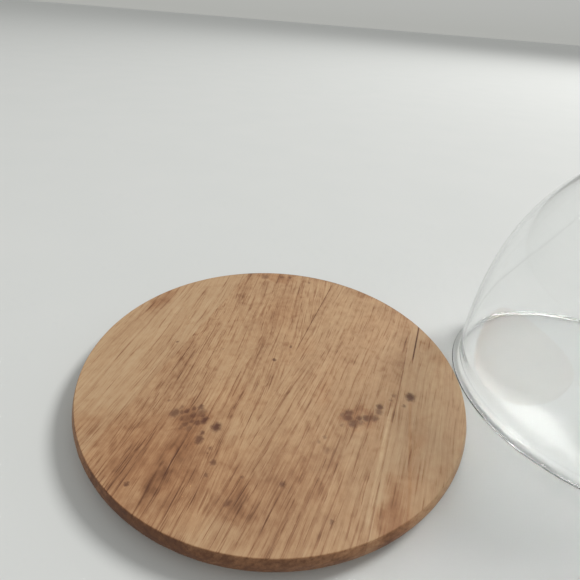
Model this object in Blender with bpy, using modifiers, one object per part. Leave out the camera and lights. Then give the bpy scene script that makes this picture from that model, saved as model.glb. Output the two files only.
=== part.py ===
"""Cheese dome: a round oak board glued up from four staves, and a glass bell with a glass knob.

Units are metres and +Z is up. The origin is the centre of the board's underside, on the table.
The bell stands on the table beside the board, towards +X, and lifts straight up along +Z.
"""

import math

import bpy

# Driving dimensions
BOARD_RADIUS = 0.1268
BOARD_THICKNESS = 0.016
BELL_RIM_RADIUS = 0.101
BELL_HEIGHT = 0.170
BELL_WALL = 0.0026
BELL_STAND_OFF = 0.0082
TOUCH_GAP = 0.0003

# Board: four staves, edge to edge; its side swells out below the top and rounds under to the base
BOARD_TOP_RADIUS = 0.1252
BOARD_WIDEST_HEIGHT = 0.0105
BOARD_BASE_RADIUS = 0.1180
GRAIN_ANGLE = math.radians(68)
STAVE_WIDTH = 0.075
FIRST_JOINT = -0.067
JOINT_COUNT = 3
BOARD_STEPS = 96
SWELL_SEGMENTS = 3
UNDER_SEGMENTS = 6

# Bell: a crown above the widest ring, a waist below it, and a rim that flares out to a thin lip
BELL_X = BOARD_RADIUS + BELL_STAND_OFF + BELL_RIM_RADIUS
BELL_WIDEST_RADIUS = 0.0980
BELL_WIDEST_HEIGHT = 0.018
BELL_CROWN_POWER = 2.5
BELL_WAIST_RADIUS = 0.0965
BELL_WAIST_HEIGHT = 0.0065
RIM_BEAD_RADIUS = 0.0012
RIM_FLAT_WIDTH = 0.0048
BELL_STEPS = 64
CROWN_SEGMENTS = 12
SKIRT_SEGMENTS = 4
BEAD_SEGMENTS = 5

# Knob: a ball on a short neck, fused to the crown
KNOB_RADIUS = 0.0165
KNOB_NECK_RADIUS = 0.0085
KNOB_FOOT_RADIUS = 0.0115
KNOB_NECK_HEIGHT = 0.0080
KNOB_STEPS = 32
KNOB_BALL_SEGMENTS = 10

SMOOTH_LIMIT = math.radians(30)
MERGE_DISTANCE = 0.00001
PARTS_COLLECTION = "cheese_dome"
CUTTERS_COLLECTION = "cutters"

STAVE_COLOURS = (
    (0.45, 0.27, 0.13),
    (0.40, 0.22, 0.10),
    (0.42, 0.23, 0.11),
    (0.36, 0.18, 0.08),
)
GLASS_COLOUR = (0.86, 0.94, 0.93)


def clear_scene():
    """Remove every object, such as the ones a new file starts with."""
    for thing in list(bpy.data.objects):
        bpy.data.objects.remove(thing, do_unlink=True)


def new_collection(name):
    """Make a collection under the scene's own."""
    group = bpy.data.collections.new(name)
    bpy.context.scene.collection.children.link(group)
    return group


def make_material(name, colour, roughness, transmission=0.0):
    """A Principled BSDF material."""
    material = bpy.data.materials.new(name)
    material.use_nodes = True
    shader = material.node_tree.nodes["Principled BSDF"]
    shader.inputs["Base Color"].default_value = (*colour, 1.0)
    shader.inputs["Roughness"].default_value = roughness
    shader.inputs["Metallic"].default_value = 0.0
    shader.inputs["Transmission Weight"].default_value = transmission
    return material


def arc(centre, radius, start_degrees, end_degrees, segments):
    """Points on an arc in a profile's plane, both ends included."""
    points = []
    for i in range(segments + 1):
        angle = math.radians(start_degrees + (end_degrees - start_degrees) * i / segments)
        points.append((centre[0] + radius * math.cos(angle), centre[1] + radius * math.sin(angle)))
    return points


def turned(name, profile, steps, material, group):
    """Turn a profile of (radius, height) points, given from top to bottom, about the Z axis."""
    mesh = bpy.data.meshes.new(name)
    points = [(radius, 0.0, height) for radius, height in profile]
    edges = [(i, i + 1) for i in range(len(points) - 1)]
    mesh.from_pydata(points, edges, [])
    mesh.materials.append(material)
    piece = bpy.data.objects.new(name, mesh)
    group.objects.link(piece)
    screw = piece.modifiers.new("Turn", "SCREW")
    screw.axis = "Z"
    screw.steps = steps
    screw.render_steps = steps
    screw.use_merge_vertices = True
    screw.merge_threshold = MERGE_DISTANCE
    return piece


def shade(piece):
    """Replace a piece's mesh with its evaluated one, smooth except at its arrises."""
    evaluated = piece.evaluated_get(bpy.context.evaluated_depsgraph_get())
    mesh = bpy.data.meshes.new_from_object(evaluated)
    piece.modifiers.clear()
    piece.data = mesh
    mesh.shade_smooth()
    mesh.set_sharp_from_angle(angle=SMOOTH_LIMIT)


# Board

def swell_points():
    """The side from the top's edge down to the widest ring, which is left out."""
    swell = BOARD_RADIUS - BOARD_TOP_RADIUS
    drop = BOARD_THICKNESS - BOARD_WIDEST_HEIGHT
    points = []
    for i in range(SWELL_SEGMENTS):
        share = i / SWELL_SEGMENTS
        out = math.sin(math.pi / 2 * share)
        points.append((BOARD_TOP_RADIUS + swell * out, BOARD_THICKNESS - drop * share))
    return points


def under_points():
    """The side from the widest ring around under to the flat base, both included."""
    points = []
    for i in range(UNDER_SEGMENTS + 1):
        angle = math.pi / 2 * i / UNDER_SEGMENTS
        radius = BOARD_BASE_RADIUS + (BOARD_RADIUS - BOARD_BASE_RADIUS) * math.cos(angle)
        points.append((radius, BOARD_WIDEST_HEIGHT * (1 - math.sin(angle))))
    return points


def board_profile():
    """The board's section: a flat top, a swelling side that rounds under, and a flat base."""
    return [(0.0, BOARD_THICKNESS)] + swell_points() + under_points() + [(0.0, 0.0)]


def stave_edges():
    """Where each stave starts and ends, measured across the grain."""
    beyond = 1.2 * BOARD_RADIUS
    joints = [FIRST_JOINT + i * STAVE_WIDTH for i in range(JOINT_COUNT)]
    starts = [-beyond] + [joint + TOUCH_GAP / 2 for joint in joints]
    ends = [joint - TOUCH_GAP / 2 for joint in joints] + [beyond]
    return list(zip(starts, ends))


def make_stave_cutter(name, start, end, group):
    """A plank that runs along the grain and keeps one stave of the disc."""
    bpy.ops.mesh.primitive_cube_add(size=1.0)
    cutter = bpy.context.active_object
    cutter.name = name
    for owner in list(cutter.users_collection):
        owner.objects.unlink(cutter)
    group.objects.link(cutter)
    across = GRAIN_ANGLE - math.pi / 2
    middle = (start + end) / 2
    cutter.scale = (end - start, 3 * BOARD_RADIUS, 4 * BOARD_THICKNESS)
    cutter.rotation_euler = (0.0, 0.0, across)
    cutter.location = (middle * math.cos(across), middle * math.sin(across), 0.0)
    cutter.display_type = "WIRE"
    cutter.hide_render = True
    return cutter


def make_board(parts, cutters):
    """Four staves, each a slice of the same turned disc."""
    for number, (start, end) in enumerate(stave_edges(), start=1):
        name = f"board_stave_{number}"
        oak = make_material(name, STAVE_COLOURS[number - 1], 0.6)
        stave = turned(name, board_profile(), BOARD_STEPS, oak, parts)
        cut = stave.modifiers.new("Stave", "BOOLEAN")
        cut.operation = "INTERSECT"
        cut.solver = "EXACT"
        cut.object = make_stave_cutter(f"cutter_{number}", start, end, cutters)
        shade(stave)


# Glass

def crown_points(radius, height):
    """The bell's upper wall, from the axis down to its widest ring, which is left out."""
    points = []
    for i in range(CROWN_SEGMENTS):
        angle = math.pi / 2 * (1 - i / CROWN_SEGMENTS)
        across = max(math.cos(angle), 0.0) ** (2 / BELL_CROWN_POWER)
        up = math.sin(angle) ** (2 / BELL_CROWN_POWER)
        points.append((radius * across if i else 0.0, BELL_WIDEST_HEIGHT + height * up))
    return points


def skirt_points(widest, waist):
    """The wall from the widest ring down to the waist, both included."""
    points = []
    for i in range(SKIRT_SEGMENTS + 1):
        share = i / SKIRT_SEGMENTS
        ease = (1 - math.cos(math.pi * share)) / 2
        drop = (BELL_WIDEST_HEIGHT - BELL_WAIST_HEIGHT) * share
        points.append((widest + (waist - widest) * ease, BELL_WIDEST_HEIGHT - drop))
    return points


def bell_profile():
    """The bell's section: outer wall down, around the rim's bead, and up the inner wall."""
    crown_height = BELL_HEIGHT - BELL_WIDEST_HEIGHT
    outer = crown_points(BELL_WIDEST_RADIUS, crown_height)
    outer += skirt_points(BELL_WIDEST_RADIUS, BELL_WAIST_RADIUS)
    inner = crown_points(BELL_WIDEST_RADIUS - BELL_WALL, crown_height - BELL_WALL)
    inner += skirt_points(BELL_WIDEST_RADIUS - BELL_WALL, BELL_WAIST_RADIUS - BELL_WALL)
    bead_centre = (BELL_RIM_RADIUS - RIM_BEAD_RADIUS, RIM_BEAD_RADIUS)
    bead = arc(bead_centre, RIM_BEAD_RADIUS, 120, -90, BEAD_SEGMENTS)
    flat_end = (bead_centre[0] - RIM_FLAT_WIDTH, 0.0)
    return outer + bead + [flat_end] + inner[::-1]


def knob_profile():
    """A ball above a waisted neck, from its top down to its flat foot."""
    foot_height = BELL_HEIGHT + TOUCH_GAP
    neck_angle = math.degrees(math.acos(KNOB_NECK_RADIUS / KNOB_RADIUS))
    ball_drop = KNOB_RADIUS * math.sin(math.radians(neck_angle))
    ball_centre = (0.0, foot_height + KNOB_NECK_HEIGHT + ball_drop)
    profile = arc(ball_centre, KNOB_RADIUS, 90, -neck_angle, KNOB_BALL_SEGMENTS)
    profile[0] = (0.0, profile[0][1])
    profile.append((KNOB_NECK_RADIUS, foot_height + KNOB_NECK_HEIGHT / 2))
    profile.append((KNOB_FOOT_RADIUS, foot_height))
    profile.append((0.0, foot_height))
    return profile


def make_glass(parts):
    """The bell and its knob, both on the empty that the lift moves."""
    bell_glass = make_material("glass_bell", GLASS_COLOUR, 0.03, transmission=1.0)
    knob_glass = make_material("glass_knob", GLASS_COLOUR, 0.03, transmission=1.0)
    lift = bpy.data.objects.new("dome_lift_axis", None)
    lift.location = (BELL_X, 0.0, 0.0)
    parts.objects.link(lift)
    bell = turned("glass_bell", bell_profile(), BELL_STEPS, bell_glass, parts)
    knob = turned("glass_knob", knob_profile(), KNOB_STEPS, knob_glass, parts)
    for piece in (bell, knob):
        shade(piece)
        piece.parent = lift


def main():
    clear_scene()
    parts = new_collection(PARTS_COLLECTION)
    cutters = new_collection(CUTTERS_COLLECTION)
    make_board(parts, cutters)
    make_glass(parts)
    bpy.context.view_layer.update()


main()
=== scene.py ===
"""Looks of the cheese dome: oak staves and a glass bell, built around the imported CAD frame.

Units are metres. The board's centre is the origin, the bell stands towards +X, and +Z is up.
Across and along mean across and along the staves' grain.
"""

import math

import bmesh
import bpy
import numpy as np
from mathutils import Matrix, Vector, noise


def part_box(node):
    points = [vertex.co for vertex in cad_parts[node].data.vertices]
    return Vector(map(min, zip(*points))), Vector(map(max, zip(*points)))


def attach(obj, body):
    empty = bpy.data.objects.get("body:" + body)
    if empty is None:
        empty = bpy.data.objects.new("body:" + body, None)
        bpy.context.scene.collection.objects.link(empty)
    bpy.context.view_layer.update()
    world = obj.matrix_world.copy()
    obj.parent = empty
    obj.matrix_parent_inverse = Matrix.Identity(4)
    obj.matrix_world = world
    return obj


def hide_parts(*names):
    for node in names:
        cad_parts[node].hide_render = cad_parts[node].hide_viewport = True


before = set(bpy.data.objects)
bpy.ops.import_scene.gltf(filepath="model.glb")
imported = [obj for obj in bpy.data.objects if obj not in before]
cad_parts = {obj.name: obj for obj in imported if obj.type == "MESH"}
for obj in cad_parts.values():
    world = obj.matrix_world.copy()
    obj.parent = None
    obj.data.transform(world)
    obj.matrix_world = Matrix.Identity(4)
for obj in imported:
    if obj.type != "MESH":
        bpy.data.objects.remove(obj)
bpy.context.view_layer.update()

# Sizes read from the frame
STAVES = ("board_stave_1", "board_stave_2", "board_stave_3", "board_stave_4")
STAVE_BOXES = [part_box(name) for name in STAVES]
SIDE_RADIUS = max(high.x for low, high in STAVE_BOXES)
BOARD_TOP = max(high.z for low, high in STAVE_BOXES)
BELL_LOW, BELL_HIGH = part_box("glass_bell")
KNOB_LOW, KNOB_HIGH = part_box("glass_knob")
BELL_CENTRE = (BELL_LOW + BELL_HIGH) / 2
RIM_RADIUS = (BELL_HIGH.y - BELL_LOW.y) / 2
BELL_HEIGHT = BELL_HIGH.z

# Camera, as the photograph was taken: over the near side of the board, tipped down and rolled
CAMERA_PLACE = (-0.100, -1.7905, 1.617)
CAMERA_PITCH = math.radians(32.12)
CAMERA_YAW = math.radians(4.72)
CAMERA_ROLL = math.radians(4.75)
CAMERA_LENS = 27.06

# Board: the flat top's radius, which the camera's place and the wood's features are measured in,
# the joints' places across the grain, and the edge, which swells out and rounds under
BOARD_RADIUS = 0.125
GRAIN_ANGLE = math.radians(68)
JOINTS = (-0.067, 0.008, 0.083)
JOINT_GAP = 0.00003
TOP_ARRIS = 0.0007
ARRIS_TURN = math.radians(65)
ARRIS_INSET = 0.4 * TOP_ARRIS
FLAT_RADIUS = BOARD_RADIUS - ARRIS_INSET
SIDE_HEIGHT = 0.0105
BASE_RADIUS = 0.1180
ARRIS_STEPS = 5
SWELL_STEPS = 7
UNDER_STEPS = 12
CELLS_ACROSS = 380
CELLS_ALONG = 240
MILLIMETRE = 0.001

# Glass: the bell's wall, and the neck's, flare's and toe's points as (radius, height). The neck's
# heights start at the crown's top, and the flare's and toe's radii start at the wall's faces.
WALL = 0.0026
WIDEST_RADIUS = 0.0980
WIDEST_HEIGHT = 0.018
CROWN_POWER = 2.5
WAIST_RADIUS = 0.0965
WAIST_HEIGHT = 0.0065
BEAD_RADIUS = 0.0007
RIM_FLAT = 0.0044
NECK = ((0.0086, 0.0062), (0.0090, 0.0030), (0.0112, 0.0006), (0.0150, -0.0002))
NECK_REACH = 0.018
FLARE = ((0.0004, 0.0036), (0.0016, 0.0020))
TOE = (0.0002, 0.0030)
TOE_HEIGHT = 0.0004
TOE_WIDTH = 0.0005
CROWN_STEPS = 72
SKIRT_STEPS = 16
LIP_STEPS = 16
BALL_STEPS = 24
GLASS_STEPS = 160

# Setting: the key light's azimuth and elevation in degrees, distance, width, watts and colour, and
# the place that it faces
KEY_LIGHT = (26, 46, 6.0, 1.90, 262.0, (1.0, 0.985, 0.965))
LIT_PLACE = Vector((0.08, 0.0, 0.0))
TABLE_WIDTH = 40.0
TABLE_DROP = 0.0002

# Each stave's grain: where the tree's heart lay (across, up), how the grain leans and bows, the
# width of a growth ring, and how pale, how red, how lined and how mottled the wood is
HEARTS = ((-0.030, -0.110), (-0.052, -0.060), (0.120, -0.095), (0.020, -0.085))
LEANS = (math.radians(6.5), math.radians(7.5), math.radians(-2.5), math.radians(-1))
BOWS = (0.40, 0.27, 0.10, 0.0)
RING_WIDTHS = (0.0031, 0.0036, 0.0030, 0.0027)
# The fourth stave's higher tone is partly painted light, lifted to make up for the bell's shadow on it
TONES = (0.64, 0.60, 0.61, 0.685)
REDNESS = (0.00, 0.20, 0.12, 0.06)
LINING = (0.95, 1.15, 1.05, 0.90)
MOTTLING = (0.7, 1.2, 1.1, 0.8)

# Pin knots: place across and along and radius, in board radii, and how dark
KNOTS = (
    (-0.310, -0.500, 0.020, 0.75), (-0.265, -0.467, 0.012, 0.85), (-0.218, -0.420, 0.013, 0.75),
    (-0.200, -0.448, 0.020, 0.60), (-0.163, -0.485, 0.015, 1.00), (-0.184, -0.510, 0.013, 0.75),
    (-0.232, -0.540, 0.013, 0.65), (-0.245, -0.505, 0.016, 0.40), (-0.205, -0.555, 0.014, 0.60),
    (-0.094, -0.497, 0.020, 1.00), (-0.135, -0.553, 0.011, 0.80), (-0.131, -0.590, 0.017, 0.80),
    (-0.377, -0.442, 0.007, 0.45), (-0.064, -0.611, 0.007, 0.55), (-0.065, -0.638, 0.005, 0.50),
    (-0.017, -0.670, 0.012, 0.70), (-0.017, -0.730, 0.008, 0.60), (-0.287, -0.887, 0.008, 0.85),
    (0.290, -0.651, 0.011, 0.70), (0.123, -0.683, 0.007, 0.50), (0.119, -0.808, 0.013, 0.60),
    (-0.022, 0.042, 0.010, 0.90), (0.024, 0.183, 0.007, 0.70), (-0.318, 0.007, 0.005, 0.45),
    (-0.582, -0.045, 0.007, 0.65), (0.725, 0.064, 0.022, 0.90), (0.702, -0.013, 0.009, 0.60),
    (0.643, 0.039, 0.011, 0.45), (0.634, 0.003, 0.008, 0.40), (0.588, -0.066, 0.015, 0.85),
    (0.590, -0.100, 0.018, 0.60), (0.580, -0.149, 0.016, 0.65), (0.539, -0.168, 0.016, 0.80),
    (0.510, -0.183, 0.014, 0.75), (0.455, -0.170, 0.017, 0.70), (0.459, -0.200, 0.019, 0.75),
    (0.490, -0.222, 0.020, 0.75), (0.430, -0.190, 0.012, 0.50), (0.520, -0.205, 0.013, 0.50),
    (0.560, -0.160, 0.012, 0.50), (0.444, -0.257, 0.008, 0.40), (0.384, -0.350, 0.009, 0.45),
    (0.365, -0.390, 0.008, 0.40), (0.412, -0.422, 0.013, 0.25), (0.518, -0.726, 0.008, 0.50),
    (-0.285, -0.482, 0.011, 0.60), (-0.243, -0.440, 0.010, 0.65), (-0.226, -0.478, 0.013, 0.65),
    (-0.262, -0.515, 0.012, 0.60), (-0.212, -0.512, 0.011, 0.70), (-0.184, -0.462, 0.011, 0.70),
    (-0.240, -0.560, 0.010, 0.50), (-0.300, -0.455, 0.009, 0.45),
    (-0.411, 0.852, 0.024, 0.55), (-0.299, 0.900, 0.014, 0.50), (-0.243, 0.924, 0.011, 0.60),
    (-0.094, 0.917, 0.008, 0.55),
)

# Stains: place across and along, size across and along, in board radii, how dark and how red
STAINS = (
    (-0.225, -0.490, 0.120, 0.120, 0.60, 0.7), (-0.190, -0.640, 0.070, 0.110, 0.18, 0.6),
    (0.140, -0.780, 0.120, 0.150, 0.75, 0.6), (-0.200, -0.860, 0.070, 0.130, 0.85, 0.0),
    (-0.220, -0.760, 0.480, 0.420, 0.62, 1.2), (0.730, -0.520, 0.080, 0.180, 0.85, 1.0),
    (0.735, -0.670, 0.085, 0.150, 0.85, 1.0),
    (0.510, -0.190, 0.130, 0.095, 0.60, 1.0), (0.860, 0.440, 0.080, 0.150, 0.55, 0.4),
    (-0.330, 0.890, 0.190, 0.090, 0.45, 0.8), (0.080, 0.190, 0.120, 0.200, 0.15, 0.3),
    (-0.640, -0.720, 0.150, 0.120, 0.55, 0.6), (0.300, -0.050, 0.060, 0.110, 0.25, 0.8),
    (-0.900, 0.270, 0.080, 0.280, 0.70, 1.0), (0.310, 0.930, 0.100, 0.060, 0.60, 0.3),
    (0.762, 0.560, 0.040, 0.080, 0.40, 0.7), (0.330, -0.650, 0.340, 0.440, 0.42, 0.5),
    (-0.150, 0.500, 0.200, 0.300, 0.16, 0.4), (-0.100, -0.330, 0.200, 0.200, 0.12, 0.5),
    (0.790, -0.260, 0.050, 0.300, 0.50, 0.7), (0.830, -0.600, 0.220, 0.420, 0.22, 0.4),
)

# Lines along the grain: across and along at each end and half the width, in board radii, how dark
# (pale below 0) and how red. The first four are the glue lines where they show, and a drying crack.
LINES = (
    (0.664, 0.360, 0.664, -0.130, 0.0044, 0.85, 0.0), (0.064, 0.960, 0.064, 0.180, 0.0042, 1.20, 0.0),
    (-0.536, 0.930, -0.536, 0.560, 0.0022, 0.70, 0.0), (0.706, 0.740, 0.704, 0.360, 0.0060, 2.40, 0.0),
    (0.728, 0.030, 0.784, -0.470, 0.0120, 0.30, 0.9), (0.784, -0.470, 0.800, -0.720, 0.0100, 0.22, 0.7),
    (0.645, -0.060, 0.648, -0.720, 0.0140, -0.75, 0.0), (0.600, 0.120, 0.628, -0.300, 0.0060, -0.28, 0.0),
    (-0.118, 0.280, -0.120, 0.080, 0.0028, 0.45, 0.0), (-0.345, -0.640, -0.352, -0.900, 0.0040, 0.30, 0.3),
    (-0.405, -0.560, -0.415, -0.800, 0.0040, 0.30, 0.3), (-0.060, -0.250, -0.066, -0.380, 0.0034, 0.45, 0.1),
    (0.180, 0.260, 0.176, 0.120, 0.0024, 0.45, 0.0), (0.020, -0.080, 0.010, -0.260, 0.0026, 0.40, 0.0),
    (-0.480, 0.100, -0.500, -0.120, 0.0026, 0.40, 0.0), (-0.020, -0.820, -0.024, -0.960, 0.0030, 0.50, 0.1),
)


def srgb(red, green, blue):
    """A colour given as 0 to 255 in sRGB, as linear RGBA."""
    channels = [value / 255 for value in (red, green, blue)]
    linear = [c / 12.92 if c <= 0.04045 else ((c + 0.055) / 1.055) ** 2.4 for c in channels]
    return (*linear, 1.0)


class Graph:
    """Short calls that add nodes to one material."""

    def __init__(self, name):
        self.material = bpy.data.materials.new(name)
        self.material.use_nodes = True
        self.tree = self.material.node_tree
        self.shader = self.tree.nodes["Principled BSDF"]

    def add(self, kind, inputs=None, **settings):
        """A node with its settings, and its inputs as sockets or values."""
        node = self.tree.nodes.new(kind)
        for key, value in settings.items():
            setattr(node, key, value)
        for key, value in (inputs or {}).items():
            self.put(node.inputs[key], value)
        return node

    def put(self, socket, value):
        """Link a socket to another one, or give it a value."""
        if isinstance(value, bpy.types.NodeSocket):
            self.tree.links.new(value, socket)
        else:
            socket.default_value = value

    def math(self, operation, first, second=0.0, third=0.0):
        inputs = {0: first, 1: second, 2: third}
        return self.add("ShaderNodeMath", inputs, operation=operation).outputs[0]

    def vector(self, operation, first, second):
        node = self.add("ShaderNodeVectorMath", {0: first, 1: second}, operation=operation)
        return node.outputs["Value" if operation in ("LENGTH", "DOT_PRODUCT") else "Vector"]

    def noise(self, place, stretch, detail=2.0, roughness=0.5):
        """Noise from 0 to 1, with stretch as its number of features per metre on each axis."""
        scaled = self.vector("MULTIPLY", place, stretch)
        inputs = {"Vector": scaled, "Scale": 1.0, "Detail": detail, "Roughness": roughness}
        return self.add("ShaderNodeTexNoise", inputs).outputs["Fac"]

    def step(self, value, low, high):
        """Smoothly 0 at low and 1 at high."""
        inputs = {"Value": value, "From Min": low, "From Max": high}
        node = self.add("ShaderNodeMapRange", inputs, interpolation_type="SMOOTHSTEP")
        return node.outputs["Result"]

    def scale(self, value, low, high):
        """A value from 0 to 1, spread from low to high."""
        inputs = {"Value": value, "To Min": low, "To Max": high}
        return self.add("ShaderNodeMapRange", inputs).outputs["Result"]

    def mix(self, share, first, second):
        """Two colours mixed."""
        node = self.add("ShaderNodeMix", data_type="RGBA")
        self.put(node.inputs["Factor"], share)
        self.put(node.inputs["A"], first)
        self.put(node.inputs["B"], second)
        return node.outputs["Result"]

    def ramp(self, value, stops):
        """A colour ramp from (position, colour) stops."""
        node = self.add("ShaderNodeValToRGB", {"Fac": value})
        elements = node.color_ramp.elements
        while len(elements) < len(stops):
            elements.new(0.5)
        for element, (position, colour) in zip(elements, stops):
            element.position = position
            element.color = colour
        return node.outputs["Color"]


# Oak

OAK_STOPS = (
    (0.00, srgb(84, 54, 38)),
    (0.20, srgb(109, 75, 51)),
    (0.42, srgb(151, 114, 83)),
    (0.58, srgb(175, 142, 108)),
    (0.78, srgb(191, 164, 130)),
    (1.00, srgb(208, 184, 151)),
)
KNOT_COLOUR = srgb(88, 55, 41)
RED_TINT = (1.03, 0.90, 0.80, 1.0)
WHITE = (1.0, 1.0, 1.0, 1.0)


def on_stave(number, across, reach):
    """Whether something this far across the grain, in board radii, touches the stave."""
    edges = (-BOARD_RADIUS, *JOINTS, BOARD_RADIUS)
    return edges[number] - reach <= across * BOARD_RADIUS <= edges[number + 1] + reach


def shaken(graph, flat, scale, amount):
    """A flat place moved about by noise, so that what is drawn there has a ragged outline."""
    shake = graph.add("ShaderNodeTexNoise", {"Vector": flat, "Scale": scale, "Detail": 3.0})
    centred = graph.vector("SUBTRACT", shake.outputs["Color"], (0.5, 0.5, 0.5))
    return graph.vector("ADD", flat, graph.vector("MULTIPLY", centred, (*amount, 0.0)))


def spot(graph, flat, place, size, sharp):
    """1 in the middle of an oval spot and 0 outside it. Place and size are in board radii."""
    middle = (place[0] * BOARD_RADIUS, place[1] * BOARD_RADIUS, 0.0)
    stretch = (1 / (size[0] * BOARD_RADIUS), 1 / (size[1] * BOARD_RADIUS), 0.0)
    away = graph.vector("MULTIPLY", graph.vector("SUBTRACT", flat, middle), stretch)
    return graph.step(graph.vector("LENGTH", away, (0.0, 0.0, 0.0)), 1.0, sharp)


def line(graph, across, along, ends, half_width):
    """1 along a fine line and 0 beside and beyond it. Its ends and half width are in board radii."""
    first_across, first_along, last_across, last_along = [value * BOARD_RADIUS for value in ends]
    slope = (last_across - first_across) / (last_along - first_along)
    middle = graph.math("MULTIPLY_ADD", along, slope, first_across - first_along * slope)
    away = graph.math("ABSOLUTE", graph.math("SUBTRACT", across, middle))
    beside = graph.step(away, half_width * BOARD_RADIUS, 0.25 * half_width * BOARD_RADIUS)
    fade = 0.05 * BOARD_RADIUS
    low, high = sorted((first_along, last_along))
    begun = graph.step(along, low - fade, low + fade)
    unfinished = graph.step(along, high + fade, high - fade)
    return graph.math("MULTIPLY", beside, graph.math("MULTIPLY", begun, unfinished))


def knot_mask(graph, number, flat):
    """Where the stave's pin knots are, and how dark."""
    ragged = shaken(graph, flat, 420.0, (0.0028, 0.0038))
    knots = 0.0
    for across, along, radius, darkness in KNOTS:
        if on_stave(number, across, 0.0):
            mask = spot(graph, ragged, (across, along), (1.65 * radius, 2.0 * radius), 0.25)
            knots = graph.math("MAXIMUM", knots, graph.math("MULTIPLY", mask, darkness))
    return knots


def stain_masks(graph, number, flat, across, along):
    """How dark and how red the stave's stains and lines make it."""
    loose = shaken(graph, flat, 75.0, (0.016, 0.040))
    dark, red = 0.0, 0.0
    for place_across, place_along, wide, long, darkness, redness in STAINS:
        if on_stave(number, place_across, wide * BOARD_RADIUS):
            mask = spot(graph, loose, (place_across, place_along), (wide, long), 0.0)
            dark = graph.math("MULTIPLY_ADD", mask, darkness, dark)
            red = graph.math("MULTIPLY_ADD", mask, redness, red)
    for *ends, half_width, darkness, redness in LINES:
        if on_stave(number, ends[0], 0.01 * BOARD_RADIUS):
            mask = line(graph, across, along, ends, half_width)
            dark = graph.math("MULTIPLY_ADD", mask, darkness, dark)
            red = graph.math("MULTIPLY_ADD", mask, redness, red)
    return dark, red


def growth_rings(graph, number, grain, across, up):
    """1 in each growth ring's porous early wood, and 0 in its late wood."""
    sideways = graph.math("SUBTRACT", across, HEARTS[number][0])
    upwards = graph.math("SUBTRACT", up, HEARTS[number][1])
    squares = graph.math("MULTIPLY_ADD", upwards, upwards, graph.math("MULTIPLY", sideways, sideways))
    ripple = graph.noise(grain, (120.0, 11.0, 120.0), 3.0)
    radius = graph.math("MULTIPLY_ADD", ripple, 0.0070, graph.math("SQRT", squares))
    ring = graph.math("FRACT", graph.math("DIVIDE", radius, RING_WIDTHS[number]))
    return graph.math("SUBTRACT", 1.0, graph.step(ring, 0.0, 0.65))


def figure_mask(graph, board):
    """Faint curled lines, as the wood round buried pin knots shows."""
    curled = shaken(graph, board, 60.0, (0.010, 0.010))
    field = graph.noise(curled, (75.0, 50.0, 75.0), 1.0)
    contour = graph.math("ABSOLUTE", graph.math("SUBTRACT", field, 0.5))
    broken = graph.step(graph.noise(board, (120.0, 90.0, 120.0), 1.0), 0.42, 0.62)
    return graph.math("MULTIPLY", graph.step(contour, 0.090, 0.0), broken)


def side_masks(graph, normal):
    """1 on the board's side, and 1 where the side cuts straight across the grain. Both darken the side:
    partly end grain's own colour, partly painted shade.
    """
    level = graph.vector("DOT_PRODUCT", normal, (0.0, 0.0, 1.0))
    edge = graph.math("SUBTRACT", 1.0, graph.step(graph.math("ABSOLUTE", level), 0.25, 0.85))
    grain_way = (math.cos(GRAIN_ANGLE), math.sin(GRAIN_ANGLE), 0.0)
    along = graph.vector("DOT_PRODUCT", normal, grain_way)
    return edge, graph.math("MULTIPLY", along, along)


def mixed_tone(graph, start, layers):
    """A tone with (0 to 1 value, amount) layers added, each about its middle."""
    tone = start - sum(amount for value, amount in layers) / 2
    for value, amount in layers:
        tone = graph.math("MULTIPLY_ADD", value, amount, tone)
    return tone


def board_place(graph, position):
    """A place on the board, turned to run across and along the grain: whole, flat, and in parts."""
    turn = graph.add("ShaderNodeMapping", {"Vector": position})
    turn.inputs["Rotation"].default_value = (0.0, 0.0, math.pi / 2 - GRAIN_ANGLE)
    board = turn.outputs["Vector"]
    flat = graph.vector("MULTIPLY", board, (1.0, 1.0, 0.0))
    parts = graph.add("ShaderNodeSeparateXYZ", {0: board}).outputs
    return board, flat, parts


def grain_place(graph, number, board, parts):
    """A place in the stave's own grain, which leans, bows and wanders, and how far across it is."""
    across, along, up = parts
    leaning = graph.math("MULTIPLY_ADD", along, math.tan(LEANS[number]), across)
    bowed = graph.math("MULTIPLY_ADD", graph.math("MULTIPLY", along, along), BOWS[number], leaning)
    wandering = graph.math("MULTIPLY_ADD", graph.noise(board, (26.0, 9.0, 26.0), 2.0), 0.008, bowed)
    shift = 0.37 * number
    grain = graph.add("ShaderNodeCombineXYZ", {0: wandering, 1: along, 2: up}).outputs[0]
    return graph.vector("ADD", grain, (shift, shift, shift)), wandering


def fine_grain(graph, grain, early, edge):
    """The grain's finest parts: open pores, short dashes and fibres. They are calmer on the side."""
    calm = graph.scale(edge, 1.0, 0.2)
    pores = graph.step(graph.noise(grain, (1400.0, 70.0, 1400.0), 1.0), 0.53, 0.70)
    porous = graph.math("MULTIPLY", pores, graph.scale(early, 0.35, 1.0))
    dashes = graph.step(graph.noise(grain, (620.0, 22.0, 620.0), 2.0), 0.56, 0.74)
    fibres = graph.noise(grain, (2200.0, 55.0, 2200.0), 2.0)
    return graph.math("MULTIPLY", porous, calm), graph.math("MULTIPLY", dashes, calm), fibres


def oak_colour(graph, tone, knots, redness):
    """The wood's colour from its tone, with pin knots and a red tint where it is red."""
    clean = graph.ramp(tone, OAK_STOPS)
    colour = graph.mix(graph.math("MULTIPLY", knots, 0.95), clean, KNOT_COLOUR)
    redness = graph.math("MINIMUM", graph.math("MAXIMUM", redness, 0.0), 1.0)
    shown = graph.add("ShaderNodeMix", data_type="RGBA", blend_type="MULTIPLY")
    shown.inputs["Factor"].default_value = 1.0
    graph.put(shown.inputs["A"], colour)
    graph.put(shown.inputs["B"], graph.mix(redness, WHITE, RED_TINT))
    return shown.outputs["Result"]


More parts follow.
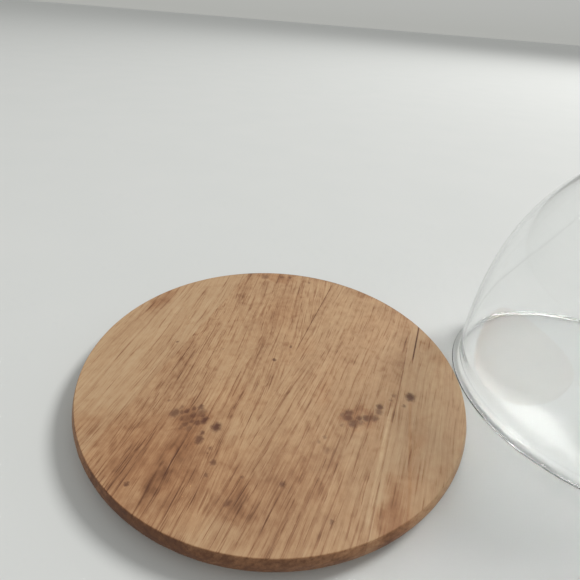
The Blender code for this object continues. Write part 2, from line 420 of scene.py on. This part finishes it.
def oak_material(number):
    """Oak cut from a log: growth rings, open pores, streaks, pin knots, stains and wear, and painted shade
    on its side.
    """
    graph = Graph(f"oak_{number + 1}")
    coordinates = graph.add("ShaderNodeTexCoord")
    board, flat, parts = board_place(graph, coordinates.outputs["Object"])
    grain, wandering = grain_place(graph, number, board, parts)
    edge, end_grain_and_shade = side_masks(graph, coordinates.outputs["Normal"])
    early = growth_rings(graph, number, grain, wandering, parts[2])
    porous, dashes, fibres = fine_grain(graph, grain, early, edge)
    lines = graph.noise(grain, (800.0, 16.0, 800.0), 2.0)
    streaks = graph.noise(grain, (240.0, 9.0, 240.0), 3.0)
    bands = graph.noise(grain, (60.0, 8.0, 60.0), 2.0)
    blotches = graph.noise(board, (60.0, 42.0, 60.0), 4.0, 0.6)
    flecks = graph.noise(board, (330.0, 210.0, 330.0), 3.0, 0.6)
    figure = figure_mask(graph, board)
    knots = knot_mask(graph, number, flat)
    stained, reddened = stain_masks(graph, number, flat, parts[0], parts[1])

    # The tone, from 0 dark to 1 pale
    lining, mottling = LINING[number], MOTTLING[number]
    tone = mixed_tone(graph, TONES[number], (
        (streaks, 0.20 * lining), (bands, 0.16), (lines, 0.22 * lining), (fibres, 0.14),
        (blotches, 0.26 * mottling), (flecks, 0.22 * mottling),
    ))
    # The edge and end grain terms darken the side: partly end grain's own colour, partly painted shade on
    # the board's side
    for value, amount in (
        (early, -0.05), (porous, -0.16 * lining), (dashes, -0.16 * lining), (figure, -0.07 * mottling),
        (stained, -0.24), (edge, -0.02), (end_grain_and_shade, -0.36),
    ):
        tone = graph.math("MULTIPLY_ADD", value, amount, tone)
    redness = graph.math("MULTIPLY_ADD", blotches, 0.6, REDNESS[number] - 0.3)
    redness = graph.math("MULTIPLY_ADD", reddened, 0.5, redness)
    redness = graph.math("MULTIPLY_ADD", end_grain_and_shade, 0.9, redness)
    graph.put(graph.shader.inputs["Base Color"], oak_colour(graph, tone, knots, redness))

    # Gloss and fine relief
    rough = graph.math("MULTIPLY_ADD", blotches, 0.22, 0.46)
    rough = graph.math("MULTIPLY_ADD", porous, 0.15, rough)
    graph.put(graph.shader.inputs["Roughness"], rough)
    graph.shader.inputs["Specular IOR Level"].default_value = 0.3
    relief = mixed_tone(graph, 0.5, ((porous, -1.0), (dashes, -0.6), (fibres, 0.35), (knots, -0.8)))
    bump = graph.add("ShaderNodeBump", {"Height": relief, "Strength": 0.7, "Distance": 0.00012})
    graph.put(graph.shader.inputs["Normal"], bump.outputs["Normal"])
    return graph.material


def to_board(points):
    """Points across and along the grain, turned into the frame's X and Y."""
    angle = GRAIN_ANGLE - math.pi / 2
    x = points[:, 0] * math.cos(angle) - points[:, 1] * math.sin(angle)
    y = points[:, 0] * math.sin(angle) + points[:, 1] * math.cos(angle)
    return np.column_stack((x, y))


def top_relief(across, along):
    """How far the worn top lies below flat at one place: ripples along the grain, and knots."""
    number = sum(across > joint for joint in JOINTS)
    edges = (-BOARD_RADIUS, *JOINTS, BOARD_RADIUS)
    middle = (edges[number] + edges[number + 1]) / 2
    half = (edges[number + 1] - edges[number]) / 2
    cup = ((across - middle) / half) ** 2
    straight = across + along * math.tan(LEANS[number]) + BOWS[number] * along * along
    ripple = noise.noise(Vector((straight * 330, along * 14, number)))
    wear = noise.noise(Vector((across * 40, along * 30, 5.0)))
    dip = 0.06 * cup + 0.03 * (1 + ripple) + 0.06 * (1 + wear)
    for place_across, place_along, radius, darkness in KNOTS:
        gap = math.hypot(across - place_across * BOARD_RADIUS, along - place_along * BOARD_RADIUS)
        share = gap / (radius * BOARD_RADIUS)
        if share < 2:
            dip += 0.18 * darkness * math.exp(-2 * share * share)
    return dip * MILLIMETRE


def arris_rings():
    """The rounded arris around the top, as (radius, height)."""
    rings = []
    for i in range(1, ARRIS_STEPS + 1):
        angle = ARRIS_TURN * i / ARRIS_STEPS
        radius = FLAT_RADIUS + TOP_ARRIS * math.sin(angle)
        rings.append((radius, BOARD_TOP - TOP_ARRIS * (1 - math.cos(angle))))
    return rings


def edge_rings():
    """The board's edge as (radius, height), from the top's outline down to the flat base."""
    rings = arris_rings()
    arris_radius, arris_height = rings[-1]
    for i in range(1, SWELL_STEPS):
        share = i / SWELL_STEPS
        radius = arris_radius + (SIDE_RADIUS - arris_radius) * math.sin(math.pi / 2 * share)
        rings.append((radius, arris_height + (SIDE_HEIGHT - arris_height) * share))
    for i in range(UNDER_STEPS + 1):
        angle = math.pi / 2 * i / UNDER_STEPS
        radius = BASE_RADIUS + (SIDE_RADIUS - BASE_RADIUS) * math.cos(angle)
        rings.append((radius, SIDE_HEIGHT * (1 - math.sin(angle))))
    return rings


def grid_faces(columns, rows):
    """The faces of a grid of points, numbered along its rows."""
    faces = []
    for row in range(rows - 1):
        for corner in range(row * columns, (row + 1) * columns - 1):
            faces.append((corner, corner + 1, corner + 1 + columns, corner + columns))
    return faces


def grid_rim(columns, rows):
    """The grid's outer points, once around."""
    rim = list(range(columns))
    rim += [(row + 1) * columns - 1 for row in range(1, rows)]
    rim += [(rows - 1) * columns + i for i in range(columns - 2, -1, -1)]
    rim += [row * columns for row in range(rows - 2, 0, -1)]
    return rim


def board_mesh():
    """The whole board as one fine closed mesh: a square grid drawn out into a disc, and its edge."""
    u = np.linspace(-1, 1, CELLS_ACROSS + 1)
    v = np.linspace(-1, 1, CELLS_ALONG + 1)
    u, v = np.meshgrid(u, v)
    across = (FLAT_RADIUS * u * np.sqrt(1 - v * v / 2)).ravel()
    along = (FLAT_RADIUS * v * np.sqrt(1 - u * u / 2)).ravel()
    heights = [BOARD_TOP - top_relief(*place) for place in zip(across, along)]
    points = [np.column_stack((to_board(np.column_stack((across, along))), heights))]
    columns, rows = CELLS_ACROSS + 1, CELLS_ALONG + 1
    faces = grid_faces(columns, rows)
    upper = grid_rim(columns, rows)
    angles = np.arctan2(along[upper], across[upper])
    count = columns * rows
    for radius, height in edge_rings():
        radii = np.array([edge_radius(angle, radius, height) for angle in angles])
        ring = np.column_stack((radii * np.cos(angles), radii * np.sin(angles)))
        points.append(np.column_stack((to_board(ring), np.full(len(angles), height))))
        lower = list(range(count, count + len(angles)))
        count += len(angles)
        faces += [(upper[i - 1], lower[i - 1], lower[i], upper[i]) for i in range(len(angles))]
        upper = lower
    faces.append(tuple(reversed(upper)))
    mesh = bpy.data.meshes.new("board")
    mesh.from_pydata(np.vstack(points).tolist(), [], faces)
    mesh.validate()
    return mesh


def edge_radius(angle, radius, height):
    """The edge's radius at one place: a little uneven, as turned and handled wood is."""
    place = Vector((math.cos(angle), math.sin(angle), height * 60)) * 9
    uneven = 0.10 * (noise.noise(place) - 1) * MILLIMETRE
    return radius + uneven


def cut_stave(mesh, start, end):
    """The slice of the board between two places across the grain."""
    body = bmesh.new()
    body.from_mesh(mesh)
    direction = Vector(to_board(np.array([[1.0, 0.0]]))[0].tolist() + [0.0])
    for place, side in ((start, -1), (end, 1)):
        if abs(place) >= BOARD_RADIUS:
            continue
        geometry = body.verts[:] + body.edges[:] + body.faces[:]
        result = bmesh.ops.bisect_plane(
            body, geom=geometry, plane_co=direction * place, plane_no=direction * side, clear_outer=True
        )
        cut = [item for item in result["geom_cut"] if isinstance(item, bmesh.types.BMEdge)]
        bmesh.ops.holes_fill(body, edges=cut, sides=0)
    bmesh.ops.recalc_face_normals(body, faces=body.faces[:])
    slice_mesh = bpy.data.meshes.new("stave")
    body.to_mesh(slice_mesh)
    body.free()
    return slice_mesh


def add_piece(name, mesh, material):
    """A shown object with one material, smooth except at its arrises."""
    mesh.materials.clear()
    mesh.materials.append(material)
    mesh.shade_smooth()
    mesh.set_sharp_from_angle(angle=math.radians(40))
    piece = bpy.data.objects.new(name, mesh)
    bpy.context.scene.collection.objects.link(piece)
    return piece


def make_board():
    """Four staves, each its own piece."""
    whole = board_mesh()
    starts = (-BOARD_RADIUS, *(joint + JOINT_GAP / 2 for joint in JOINTS))
    ends = (*(joint - JOINT_GAP / 2 for joint in JOINTS), BOARD_RADIUS)
    for number, node in enumerate(STAVES):
        mesh = cut_stave(whole, starts[number], ends[number])
        stave = add_piece(f"oak_stave_{number + 1}", mesh, oak_material(number))
        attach(stave, "board")
        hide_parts(node)


# Glass

def crown(radius, height, segments):
    """The wall from the axis down to the widest ring."""
    points = []
    for i in range(segments + 1):
        angle = math.pi / 2 * (1 - i / segments)
        across = max(math.cos(angle), 0.0) ** (2 / CROWN_POWER)
        up = max(math.sin(angle), 0.0) ** (2 / CROWN_POWER)
        points.append((radius * across, WIDEST_HEIGHT + height * up))
    points[0] = (0.0, WIDEST_HEIGHT + height)
    return points


def skirt(widest, waist, segments):
    """The wall below the widest ring, down to the waist."""
    points = []
    for i in range(1, segments + 1):
        share = i / segments
        ease = (1 - math.cos(math.pi * share)) / 2
        drop = (WIDEST_HEIGHT - WAIST_HEIGHT) * share
        points.append((widest + (waist - widest) * ease, WIDEST_HEIGHT - drop))
    return points


def between(before, start, end, after, t):
    """One coordinate, a share t of the way from start to end, by Catmull-Rom."""
    bend = 2 * before - 5 * start + 4 * end - after
    twist = 3 * start - before - 3 * end + after
    return 0.5 * (2 * start + (end - before) * t + bend * t * t + twist * t ** 3)


def curve_through(points, segments):
    """A smooth curve through profile points."""
    out = []
    for i in range(len(points) - 1):
        before, after = points[max(i - 1, 0)], points[min(i + 2, len(points) - 1)]
        for step in range(segments):
            share = step / segments
            pairs = zip(before, points[i], points[i + 1], after)
            out.append(tuple(between(*values, share) for values in pairs))
    out.append(points[-1])
    return out


def knob_outline():
    """The knob and its neck, from the top down to where the neck flows into the crown."""
    radius = (KNOB_HIGH.y - KNOB_LOW.y) / 2
    middle = KNOB_HIGH.z - radius
    ball = []
    for i in range(BALL_STEPS + 1):
        angle = math.radians(90 - 140 * i / BALL_STEPS)
        ball.append((radius * math.cos(angle), middle + radius * math.sin(angle)))
    ball[0] = (0.0, KNOB_HIGH.z)
    neck = [(out, BELL_HEIGHT + height) for out, height in NECK]
    return ball[:-1] + curve_through([ball[-1]] + neck, 5)


def lip_points(middle):
    """The rim's round lip, from its upper side out and around to the table."""
    lip = []
    for i in range(LIP_STEPS + 1):
        angle = math.radians(105 - 195 * i / LIP_STEPS)
        lip.append((middle + BEAD_RADIUS * math.cos(angle), BEAD_RADIUS + BEAD_RADIUS * math.sin(angle)))
    return lip


def bell_outline():
    """The glass section: knob, outer wall, the rim's thin lip, and the inner wall."""
    height = BELL_HEIGHT - WIDEST_HEIGHT
    outer = [point for point in crown(WIDEST_RADIUS, height, CROWN_STEPS) if point[0] > NECK_REACH]
    outer += skirt(WIDEST_RADIUS, WAIST_RADIUS, SKIRT_STEPS)
    bead_middle = RIM_RADIUS - BEAD_RADIUS
    lip = lip_points(bead_middle)
    flare = [(WAIST_RADIUS + out, up) for out, up in FLARE]
    flare = curve_through([outer[-1]] + flare + [lip[0]], 6)
    inner_waist = WAIST_RADIUS - WALL
    inner = crown(WIDEST_RADIUS - WALL, height - WALL, CROWN_STEPS)
    inner += skirt(WIDEST_RADIUS - WALL, inner_waist, SKIRT_STEPS)
    foot = bead_middle - RIM_FLAT
    toe = curve_through([inner[-1], (inner_waist + TOE[0], TOE[1]), (foot, TOE_HEIGHT)], 5)
    toe.append((foot + TOE_WIDTH, 0.0))
    return knob_outline() + outer + flare[1:-1] + lip + toe[:0:-1] + inner[::-1]


def turned_mesh(name, outline, steps):
    """Turn an outline, given from the axis back to the axis, about Z."""
    rings = outline[1:-1]
    points = [(0.0, 0.0, outline[0][1]), (0.0, 0.0, outline[-1][1])]
    for radius, height in rings:
        for i in range(steps):
            angle = 2 * math.pi * i / steps
            points.append((radius * math.cos(angle), radius * math.sin(angle), height))
    faces = []
    last = 2 + (len(rings) - 1) * steps
    for i in range(steps):
        after = (i + 1) % steps
        faces.append((0, 2 + i, 2 + after))
        faces.append((1, last + after, last + i))
        for ring in range(len(rings) - 1):
            start = 2 + ring * steps
            faces.append((start + i, start + steps + i, start + steps + after, start + after))
    mesh = bpy.data.meshes.new(name)
    mesh.from_pydata(points, [], faces)
    mesh.validate()
    return mesh


def glass_material():
    """Clear soda glass: faintly uneven, with a little handling dulling it."""
    graph = Graph("clear_glass")
    coordinates = graph.add("ShaderNodeTexCoord")
    place = coordinates.outputs["Object"]
    smear = graph.noise(place, (28.0, 28.0, 14.0), 4.0, 0.6)
    waves = graph.noise(place, (34.0, 34.0, 22.0), 1.0)
    graph.put(graph.shader.inputs["Roughness"], graph.scale(graph.step(smear, 0.45, 0.75), 0.0, 0.035))
    tint = graph.mix(smear, (0.990, 0.998, 0.996, 1.0), (0.996, 1.000, 0.998, 1.0))
    graph.put(graph.shader.inputs["Base Color"], tint)
    graph.shader.inputs["Transmission Weight"].default_value = 1.0
    graph.shader.inputs["IOR"].default_value = 1.50
    bump = graph.add("ShaderNodeBump", {"Height": waves, "Strength": 0.25, "Distance": 0.0006})
    graph.put(graph.shader.inputs["Normal"], bump.outputs["Normal"])
    return graph.material


def make_glass():
    """The bell and its fused knob, as one clear piece."""
    mesh = turned_mesh("bell", bell_outline(), GLASS_STEPS)
    mesh.transform(Matrix.Translation((BELL_CENTRE.x, BELL_CENTRE.y, 0.0)))
    bell = add_piece("glass_dome", mesh, glass_material())
    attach(bell, "dome")
    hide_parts("glass_bell", "glass_knob")


# Setting

def make_floor():
    """A plain pale table, which isn't part of the object."""
    graph = Graph("pale_table")
    place = graph.add("ShaderNodeTexCoord").outputs["Object"]
    mottle = graph.noise(place, (9.0, 9.0, 9.0), 3.0)
    grit = graph.noise(place, (900.0, 900.0, 900.0), 1.0)
    colour = graph.mix(mottle, srgb(206, 209, 208), srgb(211, 213, 212))
    graph.put(graph.shader.inputs["Base Color"], colour)
    graph.put(graph.shader.inputs["Roughness"], graph.scale(grit, 0.50, 0.66))
    graph.shader.inputs["Specular IOR Level"].default_value = 0.15
    bpy.ops.mesh.primitive_plane_add(size=TABLE_WIDTH, location=(0.0, 0.0, -TABLE_DROP))
    floor = bpy.context.active_object
    floor.name = "floor"
    floor.data.materials.append(graph.material)


def make_light(name, azimuth, elevation, distance, size, power, colour):
    """A round soft light. Its azimuth is turned from +X towards +Y."""
    flat = math.cos(math.radians(elevation))
    direction = Vector((
        math.cos(math.radians(azimuth)) * flat,
        math.sin(math.radians(azimuth)) * flat,
        math.sin(math.radians(elevation)),
    ))
    lamp = bpy.data.lights.new(name, "AREA")
    lamp.shape = "DISK"
    lamp.size = size
    lamp.energy = power
    lamp.color = colour
    light = bpy.data.objects.new(name, lamp)
    light.location = direction * distance + LIT_PLACE
    light.rotation_euler = direction.to_track_quat("Z", "Y").to_euler()
    bpy.context.scene.collection.objects.link(light)


# The studio's colour by height, from level to straight up
SKY_STOPS = (
    (0.00, srgb(176, 177, 173)),
    (0.05, srgb(182, 183, 180)),
    (0.12, srgb(178, 178, 175)),
    (1.00, srgb(198, 198, 196)),
)


def make_world():
    """A soft pale studio all round, a little brighter above."""
    world = bpy.data.worlds.new("studio")
    bpy.context.scene.world = world
    world.use_nodes = True
    tree = world.node_tree
    sky = tree.nodes.new("ShaderNodeTexCoord")
    split = tree.nodes.new("ShaderNodeSeparateXYZ")
    ramp = tree.nodes.new("ShaderNodeValToRGB")
    tree.links.new(sky.outputs["Generated"], split.inputs[0])
    tree.links.new(split.outputs["Z"], ramp.inputs["Fac"])
    tree.links.new(ramp.outputs["Color"], tree.nodes["Background"].inputs["Color"])
    elements = ramp.color_ramp.elements
    while len(elements) < len(SKY_STOPS):
        elements.new(0.5)
    for element, (position, colour) in zip(elements, SKY_STOPS):
        element.position = position
        element.color = colour


def make_camera():
    """The photograph's view."""
    lens = bpy.data.cameras.new("camera")
    lens.lens = CAMERA_LENS
    lens.clip_start = 0.01
    camera = bpy.data.objects.new("camera", lens)
    turn = Matrix.Rotation(-CAMERA_YAW, 4, "Z") @ Matrix.Rotation(math.pi / 2 - CAMERA_PITCH, 4, "X")
    turn = turn @ Matrix.Rotation(CAMERA_ROLL, 4, "Z")
    place = Vector(CAMERA_PLACE) * BOARD_RADIUS + Vector((0.0, 0.0, BOARD_TOP))
    camera.matrix_world = Matrix.Translation(place) @ turn
    bpy.context.scene.collection.objects.link(camera)
    bpy.context.scene.camera = camera


def let_light_through_glass():
    """Keep the light that the glass bends on to the table: its sharp paths, and their full strength."""
    bpy.context.scene.cycles.blur_glossy = 0.0
    bpy.context.scene.cycles.sample_clamp_indirect = 0.0


make_camera()
make_board()
make_glass()
make_floor()
make_world()
make_light("key", *KEY_LIGHT)
let_light_through_glass()
bpy.context.scene.view_settings.view_transform = "Standard"
